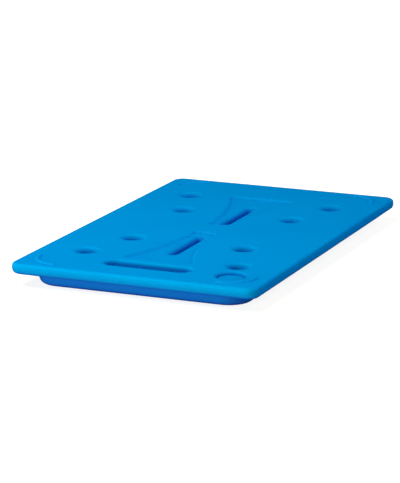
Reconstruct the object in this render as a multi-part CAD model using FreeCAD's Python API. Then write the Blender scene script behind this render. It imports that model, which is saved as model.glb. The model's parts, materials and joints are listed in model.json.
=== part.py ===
import FreeCAD, Part
import math
import os

vec = FreeCAD.Vector
up = vec(0, 0, 1)

# A sealed cold plate for one full Gastronorm pan space, in millimetres.
# The origin is the middle of the flat base. The long side runs along Y, and
# the grip recess and the filler plug are at the -Y end.

# Overall size
plate_length = 530.0
plate_width = 325.0
plate_height = 30.0

# Rim slab, which slides on the pan rails
rim_height = 14.0
rim_corner = 15.5
rim_top_round = 4.5
rim_under_round = 6.0
bead_stand = 0.3        # parting line left by the two mould halves
bead_height = 1.4

# Narrower lower body, drafted so that it leaves the mould
side_ledge = 20.0
end_ledge = 16.0
body_corner = 34.0
body_draft = 4.0
base_round = 9.0
ledge_round = 2.5

# Pockets where the top skin is pressed down on to the bottom skin
joined_skins = 5.0      # thickness left under the round pockets and the grip
pocket_draft = 12.0     # degrees
pocket_floor_round = 3.0
sink_depth = 0.5        # shallow dish left in the base under each round pocket
sink_radius = 12.0

# Round pockets, two columns a side and staggered
dimple_mouth = 19.5     # radius where the lip meets the top face
dimple_lip = 9.0
dimple_side_inset = 37.0
dimple_stagger = 25.0
dimple_end_inset = 77.0

# Slots along the middle line, standing in the flared panels
slot_mouth = 12.0       # half width
slot_lip = 9.0
slot_near_end = 30.0    # from the middle of the plate
slot_end_inset = 102.0  # from the end of the base
slot_depth = 9.0        # below the panel it stands in

# Flared panel sunk round each slot, widening towards the end of the plate
flare_depth = 2.2
flare_slope = 4.0
flare_start = 19.5
flare_end_inset = 60.0
flare_half_width = 16.5
flare_radius = 370.0
flare_start_corner = 7.0
flare_end_corner = 10.0

# Grip recess across the -Y end
grip_mouth = 17.0
grip_lip = 6.0
grip_half_length = 61.5
grip_end_inset = 35.0

# Low ridges that hold the corners of a plate stacked on top
ridge_width = 7.0
ridge_height = 1.6
ridge_clearance = 0.5
ridge_sweep = 92.0      # degrees
ridge_root = 1.0        # how far a ridge is sunk into the top face

# Filling opening and its welded plug, near the +X -Y corner
plug_side_inset = 27.5
plug_end_inset = 31.0
seat_radius = 22.5
seat_lip = 5.5
seat_depth = 5.5
plug_head_radius = 16.7
plug_head_height = 2.0
plug_head_round = 1.2
plug_stem_radius = 9.0
plug_stem_length = 9.0
stem_clearance = 0.15   # radial, round the stem
stem_end_gap = 1.0

# Sizes that follow from the ones above
body_height = plate_height - rim_height
half_width = plate_width / 2
half_length = plate_length / 2
base_half_width = half_width - side_ledge - body_draft
base_half_length = half_length - end_ledge - body_draft
pocket_depth = plate_height - joined_skins
row_pitch = (base_half_length - dimple_end_inset) / 2
corner_centre_x = half_width - side_ledge - body_corner
corner_centre_y = half_length - end_ledge - body_corner
base_corner = body_corner - body_draft


def quarter(centre_r, centre_z, radius, start, end):
    """Arc in the profile plane, angles in degrees from the outward direction."""
    angles = [math.radians(a) for a in (start, (start + end) / 2, end)]
    points = [vec(centre_r + radius * math.cos(a), 0, centre_z + radius * math.sin(a)) for a in angles]
    return Part.Arc(*points).toShape()


def joined(pieces):
    """Closed wire through arcs and points given in order."""
    edges = []
    tail = None
    head = None
    for piece in pieces:
        first = piece if isinstance(piece, FreeCAD.Vector) else piece.firstVertex(True).Point
        last = piece if isinstance(piece, FreeCAD.Vector) else piece.lastVertex(True).Point
        if tail is not None and tail.distanceToPoint(first) > 1e-6:
            edges.append(Part.LineSegment(tail, first).toShape())
        if not isinstance(piece, FreeCAD.Vector):
            edges.append(piece)
        head = first if head is None else head
        tail = last
    if tail.distanceToPoint(head) > 1e-6:
        edges.append(Part.LineSegment(tail, head).toShape())
    return Part.Wire(edges)


def carried_round(profile, half_x, half_y):
    """Solid with the same edge profile all round a rectangle of corner centres."""
    face = Part.Face(profile)
    bounds = profile.BoundBox
    pieces = []
    for x_side, y_side, turn in ((1, 1, 0), (-1, 1, 90), (-1, -1, 180), (1, -1, 270)):
        corner = face.revolve(vec(0, 0, 0), up, 90)
        corner.rotate(vec(0, 0, 0), up, turn)
        corner.translate(vec(x_side * half_x, y_side * half_y, 0))
        pieces.append(corner)
    for turn in (0, 90, 180, 270):
        reach, run = (half_x, half_y) if turn % 180 == 0 else (half_y, half_x)
        if run > 0:
            side = face.extrude(vec(0, 2 * run, 0))
            side.translate(vec(reach, -run, 0))
            side.rotate(vec(0, 0, 0), up, turn)
            pieces.append(side)
    if half_x > 0 and half_y > 0:
        core = Part.makeBox(2 * half_x, 2 * half_y, bounds.ZLength, vec(-half_x, -half_y, bounds.ZMin))
        pieces.append(core)
    return pieces[0].fuse(pieces[1:]).removeSplitter()


def rim():
    wall = rim_corner - bead_stand
    bottom = body_height
    middle = body_height + rim_height / 2
    bead = Part.Arc(vec(wall, 0, middle - bead_height / 2), vec(rim_corner, 0, middle),
                    vec(wall, 0, middle + bead_height / 2)).toShape()
    profile = joined([
        vec(0, 0, bottom),
        quarter(wall - rim_under_round, bottom + rim_under_round, rim_under_round, -90, 0),
        bead,
        quarter(wall - rim_top_round, plate_height - rim_top_round, rim_top_round, 0, 90),
        vec(0, 0, plate_height)])
    return carried_round(profile, half_width - rim_corner, half_length - rim_corner)


def lower_body():
    lean = math.degrees(math.atan2(body_draft, body_height))
    round_radius = min(base_round, body_height / 2)
    cosine, sine = math.cos(math.radians(lean)), math.sin(math.radians(lean))
    # the drafted wall leans out from (base_corner, 0) to (body_corner, body_height)
    wall_r = base_corner + round_radius * math.tan(math.radians(lean))
    round_centre = wall_r - round_radius / cosine
    flare_centre = body_corner - ledge_round * math.tan(math.radians(lean)) + ledge_round / cosine
    profile = joined([
        vec(0, 0, 0),
        quarter(round_centre, round_radius, round_radius, -90, -lean),
        quarter(flare_centre, body_height - ledge_round, ledge_round, 180 - lean, 90),
        vec(0, 0, body_height)])
    return carried_round(profile, corner_centre_x, corner_centre_y)


def pocket_profile(mouth, lip, depth, face=plate_height):
    """Half section of a tapered pocket: rounded lip, drafted wall, rounded floor.

    The lip is tangent to the level called face, and the section runs on up
    to the top of the plate above it.
    """
    bottom = face - depth
    cosine, sine = math.cos(math.radians(pocket_draft)), math.sin(math.radians(pocket_draft))
    tangent = sine / cosine
    lip_end_r = mouth - lip * cosine
    lip_end_z = face - lip + lip * sine
    wall_at_bottom = lip_end_r - (lip_end_z - bottom) * tangent
    floor_round = min(pocket_floor_round, wall_at_bottom / 2)
    floor_centre = wall_at_bottom + floor_round * tangent - floor_round / cosine
    above = [vec(mouth, 0, plate_height)] if face < plate_height else []
    return joined([vec(0, 0, plate_height)] + above + [
        quarter(mouth, face - lip, lip, 90, 180 - pocket_draft),
        quarter(floor_centre, bottom + floor_round, floor_round, -pocket_draft, -90),
        vec(0, 0, bottom)])


def dimple_places():
    outer = base_half_width - dimple_side_inset
    inner = outer - dimple_stagger
    places = []
    for x_side in (-1, 1):
        for y_side in (-1, 1):
            places.append((x_side * inner, y_side * row_pitch))
            places.append((x_side * outer, y_side * row_pitch * 2))
    return places


def dimples():
    cutter = carried_round(pocket_profile(dimple_mouth, dimple_lip, pocket_depth), 0, 0)
    return [cutter.translated(vec(x, y, 0)) for x, y in dimple_places()]


def sink_dishes():
    """Shallow dishes in the base, on the axes of the round pockets."""
    dish = Part.makeCone(sink_radius, sink_radius - sink_depth, sink_depth)
    return [dish.translated(vec(x, y, 0)) for x, y in dimple_places()]


def slots():
    far_end = base_half_length - slot_end_inset
    half_run = (far_end - slot_near_end) / 2 - slot_mouth
    middle = (far_end + slot_near_end) / 2
    profile = pocket_profile(slot_mouth, slot_lip, slot_depth, plate_height - flare_depth)
    cutter = carried_round(profile, 0, half_run)
    return [cutter.translated(vec(0, side * middle, 0)) for side in (-1, 1)]


def grip_recess():
    profile = pocket_profile(grip_mouth, grip_lip, pocket_depth)
    cutter = carried_round(profile, grip_half_length - grip_mouth, 0)
    return cutter.translated(vec(0, grip_end_inset - base_half_length, 0))


def flare_outline(inset, z):
    """Trumpet outline from a narrow end to a wide end, moved in by inset."""
    start = flare_start + inset
    end = base_half_length - flare_end_inset - inset
    half = flare_half_width - inset
    near_corner = flare_start_corner - inset
    far_corner = flare_end_corner - inset
    radius = flare_radius + inset
    bend = vec(half + radius, start + near_corner, z)
    reach = end - far_corner - bend.y
    corner = vec(bend.x - math.sqrt((radius + far_corner) ** 2 - reach ** 2), end - far_corner, z)
    tangent_point = bend + (corner - bend) * (radius / (radius + far_corner))
    side_start = vec(half, bend.y, z)
    half_angle = math.atan2(tangent_point.y - bend.y, bend.x - tangent_point.x) / 2
    side_middle = bend + vec(-radius * math.cos(half_angle), radius * math.sin(half_angle), 0)
    corner_end = vec(corner.x, end, z)
    toward = (tangent_point - corner).normalize() + vec(0, 1, 0)
    corner_middle = corner + toward.normalize() * far_corner
    diagonal = near_corner * (1 - math.sqrt(0.5))
    edge = vec(half - near_corner, start, z)
    edge_middle = vec(half - diagonal, start + diagonal, z)

    def mirrored(point):
        return vec(-point.x, point.y, point.z)

    right = [(edge, edge_middle, side_start), (side_start, side_middle, tangent_point),
             (tangent_point, corner_middle, corner_end)]
    arcs = [Part.Arc(*points).toShape() for points in right]
    arcs += [Part.Arc(*[mirrored(p) for p in reversed(points)]).toShape() for points in reversed(right)]
    return joined(arcs)


def flared_panels():
    shrink = flare_slope / flare_depth
    over = 0.5
    outer = flare_outline(-over * shrink, plate_height + over)
    inner = flare_outline(flare_slope, plate_height - flare_depth)
    far_panel = Part.makeLoft([outer, inner], True, True)
    near_panel = far_panel.copy()
    near_panel.rotate(vec(0, 0, 0), up, 180)
    return [far_panel, near_panel]


def stacking_ridges():
    """Domed ridges round the corners, with domed ends."""
    radius = base_corner + ridge_clearance + ridge_width / 2
    half = ridge_width / 2
    section = joined([
        Part.Arc(vec(-half, 0, 0), vec(0, 0, ridge_height), vec(half, 0, 0)).toShape(),
        vec(half, 0, -ridge_root),
        vec(-half, 0, -ridge_root)])
    half_section = joined([
        vec(0, 0, -ridge_root), vec(0, 0, ridge_height),
        Part.Arc(vec(0, 0, ridge_height), section_point(half), vec(half, 0, 0)).toShape(),
        vec(half, 0, -ridge_root)])
    section.translate(vec(radius, 0, 0))
    run = Part.Face(section).revolve(vec(0, 0, 0), up, ridge_sweep)
    dome = Part.Face(half_section).revolve(vec(0, 0, 0), up, 180)
    start_dome = dome.copy()
    start_dome.rotate(vec(0, 0, 0), up, 180)
    start_dome.translate(vec(radius, 0, 0))
    end_dome = dome.copy()
    end_dome.translate(vec(radius, 0, 0))
    end_dome.rotate(vec(0, 0, 0), up, ridge_sweep)
    ridge = run.fuse([start_dome, end_dome]).removeSplitter()
    ridges = []
    for x_side, y_side, turn in ((1, 1, 0), (-1, 1, 90), (-1, -1, 180), (1, -1, 270)):
        copy = ridge.copy()
        copy.rotate(vec(0, 0, 0), up, turn + (90 - ridge_sweep) / 2)
        copy.translate(vec(x_side * corner_centre_x, y_side * corner_centre_y, plate_height))
        ridges.append(copy)
    return ridges


def section_point(half):
    """Point half way along one side of the ridge's domed section."""
    dome_radius = (half ** 2 + ridge_height ** 2) / (2 * ridge_height)
    angle = math.asin(half / dome_radius) / 2
    return vec(dome_radius * math.sin(angle), 0, ridge_height - dome_radius * (1 - math.cos(angle)))


def plug_place():
    return vec(base_half_width - plug_side_inset, plug_end_inset - base_half_length, 0)


def plug_seat():
    """Round seat sunk in the top face, with the filling bore below it."""
    floor = plate_height - seat_depth
    bore_radius = plug_stem_radius + stem_clearance
    bore_end = floor - plug_stem_length - stem_end_gap
    profile = joined([
        vec(0, 0, plate_height),
        quarter(seat_radius, plate_height - seat_lip, seat_lip, 90, 180),
        vec(seat_radius - seat_lip, 0, floor),
        vec(bore_radius, 0, floor),
        vec(bore_radius, 0, bore_end),
        vec(0, 0, bore_end)])
    return carried_round(profile, 0, 0).translated(plug_place())


def filler_plug():
    floor = plate_height - seat_depth
    top = floor + plug_head_height
    profile = joined([
        vec(0, 0, floor - plug_stem_length),
        vec(plug_stem_radius, 0, floor - plug_stem_length),
        vec(plug_stem_radius, 0, floor),
        vec(plug_head_radius, 0, floor),
        quarter(plug_head_radius - plug_head_round, top - plug_head_round, plug_head_round, 0, 90),
        vec(0, 0, top)])
    return carried_round(profile, 0, 0).translated(plug_place())


def plate_body():
    body = rim().fuse(lower_body()).removeSplitter()
    body = body.fuse(stacking_ridges())
    body = body.cut(flared_panels())
    body = body.cut(dimples() + slots() + [grip_recess(), plug_seat()])
    body = body.cut(sink_dishes())
    return body.removeSplitter()


os.makedirs("parts", exist_ok=True)
for node, shape in (("plate_body", plate_body()), ("filler_plug", filler_plug())):
    solid = shape.Solids[0]
    litres = round(shape.Volume / 1e6, 3)
    print(node, "solids", len(shape.Solids), "valid", shape.isValid(), "litres", litres)
    solid.exportStep(os.path.join("parts", node + ".step"))
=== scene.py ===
import json
import math

import bpy
from mathutils import Matrix, Vector


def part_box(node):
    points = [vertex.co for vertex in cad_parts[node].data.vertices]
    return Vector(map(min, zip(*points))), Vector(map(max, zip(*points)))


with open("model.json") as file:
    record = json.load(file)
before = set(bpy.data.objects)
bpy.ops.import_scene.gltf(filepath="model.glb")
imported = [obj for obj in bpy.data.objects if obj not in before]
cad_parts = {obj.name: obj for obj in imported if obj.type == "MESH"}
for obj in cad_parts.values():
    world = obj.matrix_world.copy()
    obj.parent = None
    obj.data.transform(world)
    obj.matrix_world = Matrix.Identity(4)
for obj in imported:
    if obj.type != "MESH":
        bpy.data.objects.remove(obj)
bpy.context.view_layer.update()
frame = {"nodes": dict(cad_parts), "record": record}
print("frame loaded, pieces:", sorted(frame["nodes"]))


# Small helpers for node trees

def newMaterial(name):
    material = bpy.data.materials.new(name)
    material.use_nodes = True
    tree = material.node_tree
    tree.nodes.clear()
    out = tree.nodes.new("ShaderNodeOutputMaterial")
    return material, tree, out


def addNode(tree, kind, settings=None, **sockets):
    node = tree.nodes.new(kind)
    for key, value in (settings or {}).items():
        setattr(node, key, value)
    for key, value in sockets.items():
        node.inputs[key.replace("_", " ")].default_value = value
    return node


def scaledNoise(tree, place, scale, detail=2.0, roughness=0.5):
    noise = addNode(tree, "ShaderNodeTexNoise", Scale=scale, Detail=detail, Roughness=roughness)
    tree.links.new(place, noise.inputs["Vector"])
    return noise.outputs["Fac"]


def remap(tree, value, fromMin, fromMax, toMin, toMax):
    node = addNode(tree, "ShaderNodeMapRange", {"clamp": True})
    node.inputs["From Min"].default_value = fromMin
    node.inputs["From Max"].default_value = fromMax
    node.inputs["To Min"].default_value = toMin
    node.inputs["To Max"].default_value = toMax
    tree.links.new(value, node.inputs["Value"])
    return node.outputs["Result"]


def mixColours(tree, factor, first, second):
    # inputs 6 and 7 and output 2 are the colour sockets of this node
    node = addNode(tree, "ShaderNodeMix", {"data_type": "RGBA", "clamp_factor": True})
    tree.links.new(factor, node.inputs["Factor"])
    for socket, colour in ((node.inputs[6], first), (node.inputs[7], second)):
        if isinstance(colour, tuple):
            socket.default_value = (*colour, 1)
        else:
            tree.links.new(colour, socket)
    return node.outputs[2]


def openAround(tree, reach):
    # 1 on open faces, lower where walls stand within reach, m
    openness = addNode(tree, "ShaderNodeAmbientOcclusion", {"samples": 12})
    openness.inputs["Distance"].default_value = reach
    return openness.outputs["AO"]


def stackBumps(tree, heights):
    # each bump takes the one before it as its starting normal
    normal = None
    for height, strength, distance in heights:
        bump = addNode(tree, "ShaderNodeBump", Strength=strength, Distance=distance)
        tree.links.new(height, bump.inputs["Height"])
        if normal:
            tree.links.new(normal, bump.inputs["Normal"])
        normal = bump.outputs["Normal"]
    return normal


# Moulded shell plastic

shell = {
    "colour": (0.0, 0.283, 0.70),
    "warmColour": (0.0, 0.298, 0.715),
    # painted shade: a darker, bluer colour where walls or the floor stand close
    "paintedShadeColour": (0.010, 0.052, 0.57),
    "hollowShadeReach": 0.05,        # how far the painted shade looks for nearby walls, m
    "hollowShadeStart": 0.04,        # openness at which the painted shade is darkest
    "hollowShadeEnd": 0.76,
    "creaseShadeReach": 0.012,       # the same painted shade at the feet of the panels and ridges
    "creaseShadeStart": 0.80,
    "creaseShadeEnd": 0.99,
    "creaseShadeShare": 0.60,        # how much of the base colour stays in a crease under the painted shade
    "patchScale": 9.0,
    "patchStart": 0.35,         # noise values between which colour turns to warmColour
    "patchEnd": 0.65,
    "grainScale": 1500.0,
    "grainHeight": 0.00005,
    "grainStrength": 0.4,
    "rippleScale": 55.0,
    "rippleHeight": 0.0006,
    "rippleStrength": 0.25,
    "scuffScale": 260.0,
    "scuffStart": 0.4,
    "scuffEnd": 0.7,
    "roughLow": 0.46,
    "roughHigh": 0.62,
    "gloss": 0.0,               # at 0 the roughness and the tint don't show in the render
    "glossTint": (0.2, 0.75, 1),
}


def shellPlastic():
    material, tree, out = newMaterial("shellPlastic")
    place = addNode(tree, "ShaderNodeTexCoord").outputs["Object"]
    body = addNode(tree, "ShaderNodeBsdfPrincipled")
    body.inputs["Specular IOR Level"].default_value = shell["gloss"]
    body.inputs["Specular Tint"].default_value = (*shell["glossTint"], 1)

    # colour: slow patches of pigment, with painted shade darkening it where walls or the floor stand close
    patches = scaledNoise(tree, place, shell["patchScale"], detail=3.0)
    warmth = remap(tree, patches, shell["patchStart"], shell["patchEnd"], 0, 1)
    pigment = mixColours(tree, warmth, shell["colour"], shell["warmColour"])
    hollowShade = remap(tree, openAround(tree, shell["hollowShadeReach"]), shell["hollowShadeStart"], shell["hollowShadeEnd"],
                    0, 1)
    creaseShade = remap(tree, openAround(tree, shell["creaseShadeReach"]), shell["creaseShadeStart"], shell["creaseShadeEnd"],
                    shell["creaseShadeShare"], 1)
    paintedShade = addNode(tree, "ShaderNodeMath", {"operation": "MINIMUM"})
    tree.links.new(hollowShade, paintedShade.inputs[0])
    tree.links.new(creaseShade, paintedShade.inputs[1])
    tree.links.new(mixColours(tree, paintedShade.outputs["Value"], shell["paintedShadeColour"], pigment),
                   body.inputs["Base Color"])

    # rubbed patches, in the roughness only
    scuffs = scaledNoise(tree, place, shell["scuffScale"], detail=4.0, roughness=0.6)
    dull = remap(tree, scuffs, shell["scuffStart"], shell["scuffEnd"], shell["roughLow"], shell["roughHigh"])
    tree.links.new(dull, body.inputs["Roughness"])

    ripple = scaledNoise(tree, place, shell["rippleScale"], detail=1.0)
    grain = scaledNoise(tree, place, shell["grainScale"])
    normal = stackBumps(tree, [(ripple, shell["rippleStrength"], shell["rippleHeight"]),
                               (grain, shell["grainStrength"], shell["grainHeight"])])
    tree.links.new(normal, body.inputs["Normal"])
    tree.links.new(body.outputs["BSDF"], out.inputs["Surface"])
    return material


# Welded plug, without the shell's grain, with the turning marks of the welding tool

plug = {
    "colour": (0.0, 0.28, 0.69),
    # painted shade in the plug's seat, where walls stand close
    "paintedShadeColour": (0.004, 0.05, 0.44),
    "hollowShadeReach": 0.016,
    "hollowShadeStart": 0.35,
    "hollowShadeEnd": 0.97,
    "ringScale": 420.0,
    "ringDistortion": 1.5,      # keeps the rings from being perfect
    "ringHeight": 0.00012,
    "ringStrength": 0.25,
    "wearScale": 300.0,
    "wearStart": 0.35,
    "wearEnd": 0.7,
    "roughLow": 0.45,
    "roughHigh": 0.6,
    "gloss": 0.0,
    "glossTint": (0.2, 0.75, 1),
}


def plugPlastic():
    material, tree, out = newMaterial("plugPlastic")
    low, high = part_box("filler_plug")
    middle = (low + high) / 2
    place = addNode(tree, "ShaderNodeTexCoord").outputs["Object"]
    offset = addNode(tree, "ShaderNodeVectorMath", {"operation": "SUBTRACT"})
    offset.inputs[1].default_value = (middle.x, middle.y, 0)
    tree.links.new(place, offset.inputs[0])
    body = addNode(tree, "ShaderNodeBsdfPrincipled")
    body.inputs["Specular IOR Level"].default_value = plug["gloss"]
    body.inputs["Specular Tint"].default_value = (*plug["glossTint"], 1)

    # painted shade: the colour darkens where the seat's walls stand close
    paintedShade = remap(tree, openAround(tree, plug["hollowShadeReach"]), plug["hollowShadeStart"], plug["hollowShadeEnd"], 0, 1)
    tree.links.new(mixColours(tree, paintedShade, plug["paintedShadeColour"], plug["colour"]), body.inputs["Base Color"])

    # wear, in the roughness only
    spots = scaledNoise(tree, place, plug["wearScale"], detail=3.0)
    wear = remap(tree, spots, plug["wearStart"], plug["wearEnd"], plug["roughLow"], plug["roughHigh"])
    tree.links.new(wear, body.inputs["Roughness"])

    # rings round the plug's own axis
    rings = addNode(tree, "ShaderNodeTexWave", {"wave_type": "RINGS", "rings_direction": "Z"},
                    Scale=plug["ringScale"], Distortion=plug["ringDistortion"], Detail=1.0)
    tree.links.new(offset.outputs["Vector"], rings.inputs["Vector"])
    normal = stackBumps(tree, [(rings.outputs["Fac"], plug["ringStrength"], plug["ringHeight"])])
    tree.links.new(normal, body.inputs["Normal"])
    tree.links.new(body.outputs["BSDF"], out.inputs["Surface"])
    return material


for node, material in (("plate_body", shellPlastic()), ("filler_plug", plugPlastic())):
    frame["nodes"][node].material_slots[0].material = material
print("plastics assigned")


# Pale floor and studio light

studio = {
    "floorHalf": 7.0,
    "floorColour": (0.42, 0.42, 0.43),      # what lights up the plate from below
    "shownColour": (0.56, 0.56, 0.42),      # what the camera sees
    "liftNear": 0.86,                       # its own light round the plate, which keeps the shadow pale
    "liftFar": 1.1,
    "liftTint": (1.0, 0.998, 0.975),        # evens out the bluish light from behind
    "nearRadius": 0.45,
    "farRadius": 1.4,
    "drop": 0.0002,                         # clear of the base face
}


def seenOrMirrored(tree):
    # 1 for rays from the camera and for those that only mirror or pass light, otherwise 0
    path = addNode(tree, "ShaderNodeLightPath")
    seen = path.outputs["Is Camera Ray"]
    for name in ("Is Glossy Ray", "Is Transmission Ray"):
        either = addNode(tree, "ShaderNodeMath", {"operation": "MAXIMUM"})
        tree.links.new(seen, either.inputs[0])
        tree.links.new(path.outputs[name], either.inputs[1])
        seen = either.outputs["Value"]
    return seen


def floorMaterial():
    material, tree, out = newMaterial("paperSweep")
    seen = seenOrMirrored(tree)
    paper = addNode(tree, "ShaderNodeBsdfDiffuse")
    colour = mixColours(tree, seen, studio["floorColour"], studio["shownColour"])
    tree.links.new(colour, paper.inputs["Color"])
    lift = addNode(tree, "ShaderNodeEmission", Color=(*studio["liftTint"], 1))
    away = addNode(tree, "ShaderNodeVectorMath", {"operation": "LENGTH"})
    tree.links.new(addNode(tree, "ShaderNodeNewGeometry").outputs["Position"], away.inputs[0])
    graded = remap(tree, away.outputs["Value"], studio["nearRadius"], studio["farRadius"],
                   studio["liftNear"], studio["liftFar"])
    strength = addNode(tree, "ShaderNodeMath", {"operation": "MULTIPLY"})
    tree.links.new(graded, strength.inputs[1])
    tree.links.new(seen, strength.inputs[0])
    tree.links.new(strength.outputs["Value"], lift.inputs["Strength"])
    both = addNode(tree, "ShaderNodeAddShader")
    tree.links.new(paper.outputs["BSDF"], both.inputs[0])
    tree.links.new(lift.outputs["Emission"], both.inputs[1])
    tree.links.new(both.outputs["Shader"], out.inputs["Surface"])
    return material


def makeFloor():
    half, level = studio["floorHalf"], -studio["drop"]
    mesh = bpy.data.meshes.new("floor")
    corners = [(-half, -half, level), (half, -half, level), (half, half, level), (-half, half, level)]
    mesh.from_pydata(corners, [], [(0, 1, 2, 3)])
    mesh.materials.append(floorMaterial())
    floor = bpy.data.objects.new("floor", mesh)
    bpy.context.scene.collection.objects.link(floor)


def makeSky():
    # white to look at, with no light of its own
    world = bpy.data.worlds.new("studioSky")
    world.use_nodes = True
    tree = world.node_tree
    tree.nodes.clear()
    out = tree.nodes.new("ShaderNodeOutputWorld")
    shown = addNode(tree, "ShaderNodeBackground", Color=(1, 1, 1, 1))
    tree.links.new(seenOrMirrored(tree), shown.inputs["Strength"])
    tree.links.new(shown.outputs["Background"], out.inputs["Surface"])
    bpy.context.scene.world = world


lightAim = (0, 0, 0.02)     # inside the plate, where all five point

softboxes = {
    "overhead": {"at": (-0.45, -0.5, 1.3), "size": (1.0, 1.0), "watts": 20.2, "tint": (1.0, 1.0, 0.95)},
    "farBack": {"at": (-0.6, 3.6, 2.6), "size": (2.4, 1.6), "watts": 9, "tint": (0.9, 0.9, 1.0)},
    "backRight": {"at": (1.6, 2.2, 1.6), "size": (1.4, 1.0), "watts": 23, "tint": (0.8, 0.8, 1.0)},
    "lowFront": {"at": (-0.4, -1.6, 0.1), "size": (2.4, 0.16), "watts": 23.8, "tint": (1.0, 1.0, 0.76)},
    "rightSide": {"at": (2.4, 0.6, 0.6), "size": (1.5, 0.45), "watts": 14.5, "tint": (0.75, 0.75, 1.0)},
}


def makeSoftboxes():
    for name, box in softboxes.items():
        light = bpy.data.lights.new(name, "AREA")
        light.shape = "RECTANGLE"
        light.size, light.size_y = box["size"]
        light.energy = box["watts"]
        light.color = box["tint"]
        lamp = bpy.data.objects.new(name, light)
        lamp.location = box["at"]
        lamp.rotation_euler = (Vector(lightAim) - lamp.location).to_track_quat("-Z", "Y").to_euler()
        bpy.context.scene.collection.objects.link(lamp)


makeFloor()
makeSky()
makeSoftboxes()
print("studio lit")


# Camera at the photograph's angle

view = {
    "azimuth": 22.45,       # degrees from the -Y side towards +X
    "elevation": 13.92,
    "roll": 0.17,
    "distance": 3.1970,     # from the aim point, m
    "aimRight": -0.0165,    # aim point measured from the middle of the top face
    "aimUp": -0.0170,
    "lens": 184.59,
    "sensorWidth": 36,
    "clipEnd": 50,
}


def topFaceHeight():
    mounts = {mount["name"]: mount for mount in frame["record"]["mounts"]}
    return mounts["top_face"]["pos_m"][2]


def makeCamera():
    azimuth, elevation, roll = (math.radians(view[key]) for key in ("azimuth", "elevation", "roll"))
    back = Vector((math.sin(azimuth) * math.cos(elevation), -math.cos(azimuth) * math.cos(elevation),
                   math.sin(elevation)))
    level = Vector((math.cos(azimuth), math.sin(azimuth), 0))
    upright = back.cross(level)
    right = level * math.cos(roll) + upright * math.sin(roll)
    up = upright * math.cos(roll) - level * math.sin(roll)
    top = Vector((0, 0, topFaceHeight()))
    place = top + right * view["aimRight"] + up * view["aimUp"] + back * view["distance"]
    data = bpy.data.cameras.new("photoCamera")
    data.sensor_width = view["sensorWidth"]
    data.lens = view["lens"]
    data.clip_end = view["clipEnd"]
    camera = bpy.data.objects.new("photoCamera", data)
    camera.matrix_world = Matrix.Translation(place) @ Matrix((right, up, back)).transposed().to_4x4()
    bpy.context.scene.collection.objects.link(camera)
    bpy.context.scene.camera = camera


makeCamera()
bpy.context.scene.view_settings.view_transform = "Standard"
print("camera placed")
